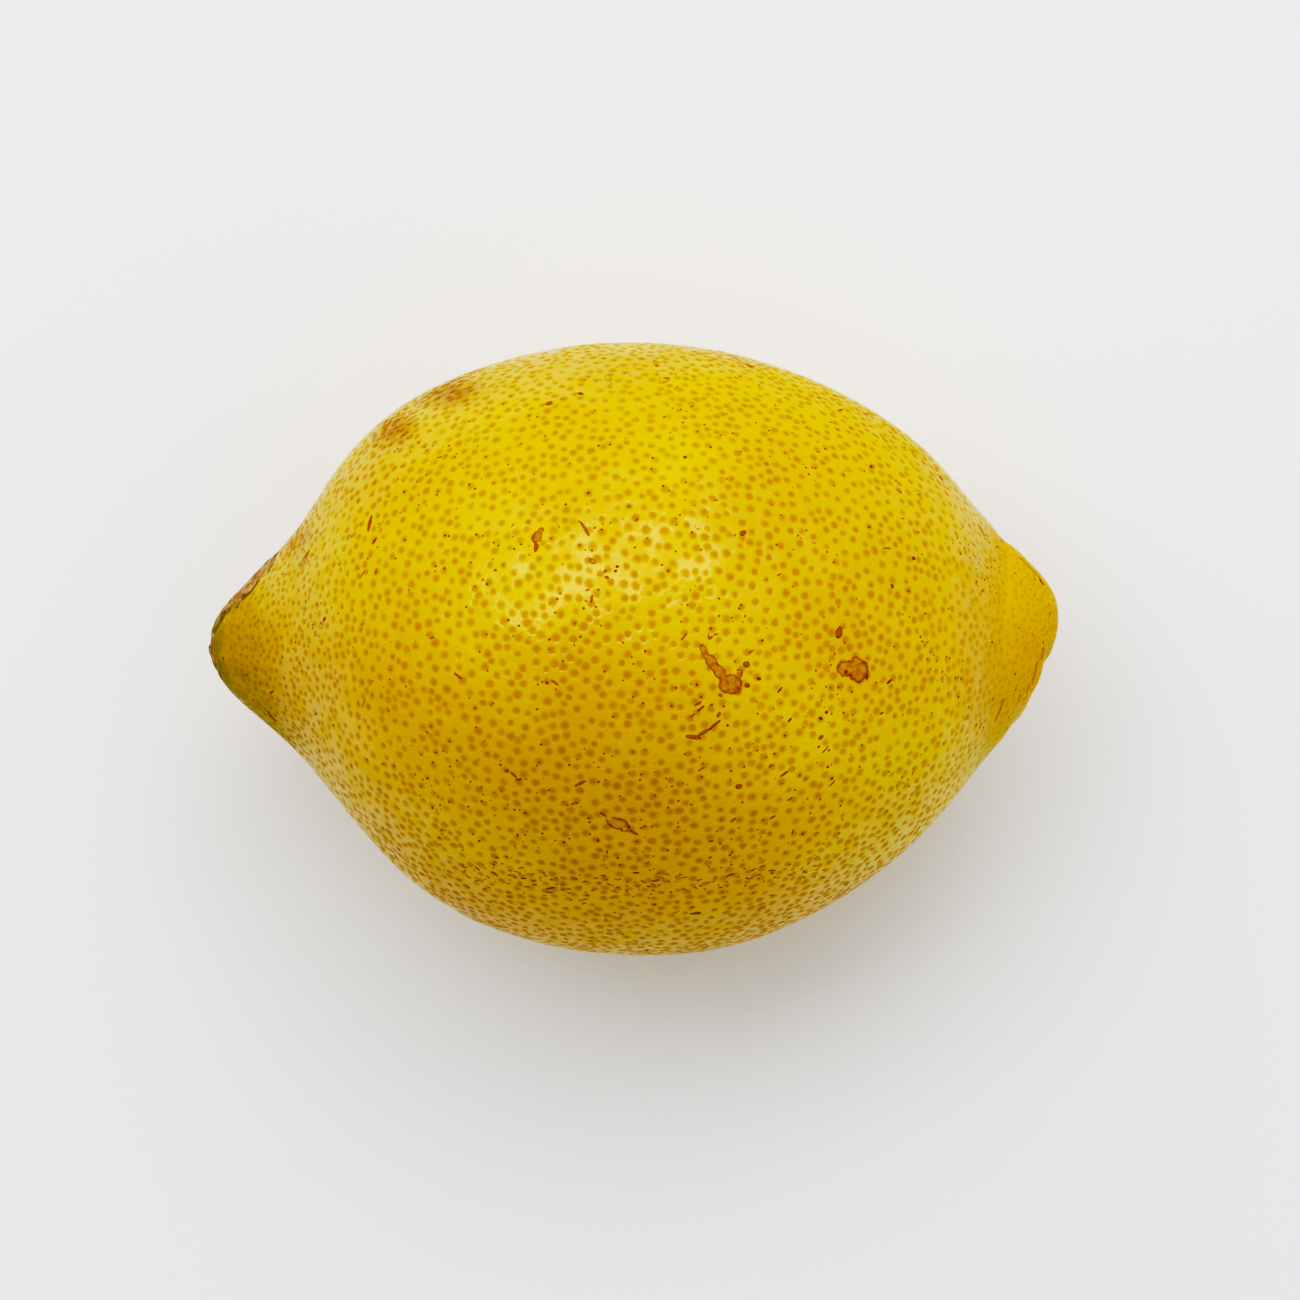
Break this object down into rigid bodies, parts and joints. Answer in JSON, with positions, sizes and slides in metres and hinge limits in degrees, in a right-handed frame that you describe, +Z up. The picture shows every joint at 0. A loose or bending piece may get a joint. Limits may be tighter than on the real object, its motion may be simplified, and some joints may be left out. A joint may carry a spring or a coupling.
{
  "type": "lemon",
  "caption": "Whole ripe lemon lying on its side: a pitted, waxy peel with a tapered stem neck and a blunt nipple, resting on a small flat spot.",
  "frame": {"origin": "on the surface that the lemon rests on, under the middle of its box", "axes": "+Z up, +X along the fruit from the stem end to the nipple, +Y to the side that the nipple leans to"},
  "size_m": [0.088, 0.0632, 0.0616],
  "materials": {
    "peel": "waxy yellow citrus peel with ochre oil glands, a few brown wind scars and a soft gloss"
  },
  "bodies": {
    "root": {"lemon": "peel"}
  },
  "joints": []
}
